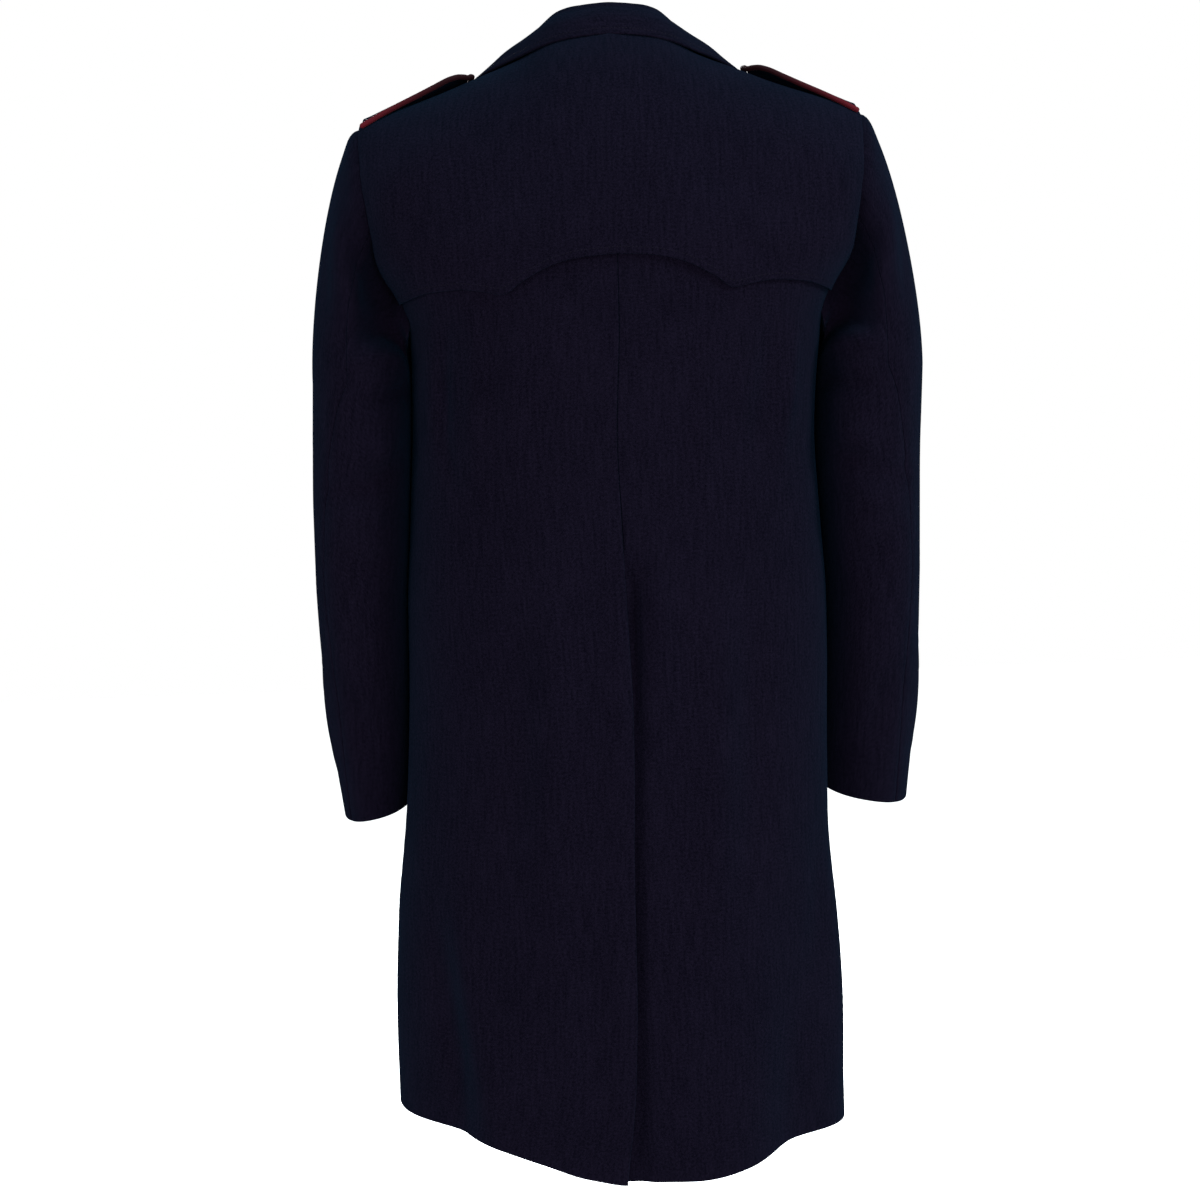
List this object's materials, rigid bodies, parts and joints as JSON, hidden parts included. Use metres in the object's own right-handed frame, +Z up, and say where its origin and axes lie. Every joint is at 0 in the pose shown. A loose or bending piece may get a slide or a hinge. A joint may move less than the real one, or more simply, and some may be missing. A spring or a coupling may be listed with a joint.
{
  "type": "police overcoat",
  "caption": "Long dark navy police overcoat, hollow and filled out as worn, with a turned-down collar, scalloped back flap, centre-back vent and red-edged shoulder straps",
  "frame": {"origin": "where the wearer's shoulders carry the coat: on its middle plane, level with the points where the shoulder seams meet the collar", "axes": "+Z up, -Y out of the coat's front, +X to the wearer's left"},
  "size_m": [0.5745, 0.2959, 1.0585],
  "materials": {
    "navy_wool": "dark navy wool twill, matt, with a faint blue bloom seen edge on",
    "red_piping": "red wool piping, matt",
    "button_metal": "plain silver-coloured metal"
  },
  "bodies": {
    "root": {"back_left": "navy_wool", "back_right": "navy_wool", "back_flap": "navy_wool", "front_left": "navy_wool", "front_right": "navy_wool", "lapel_left": "navy_wool", "lapel_right": "navy_wool", "collar": "navy_wool", "sleeve_top_left": "navy_wool", "sleeve_top_right": "navy_wool", "sleeve_under_left": "navy_wool", "sleeve_under_right": "navy_wool", "strap_left": "navy_wool", "strap_right": "navy_wool", "strap_piping_left": "red_piping", "strap_piping_right": "red_piping", "strap_button_left": "button_metal", "strap_button_right": "button_metal", "front_button_1": "button_metal", "front_button_2": "button_metal", "front_button_3": "button_metal", "front_button_4": "button_metal"}
  },
  "joints": []
}
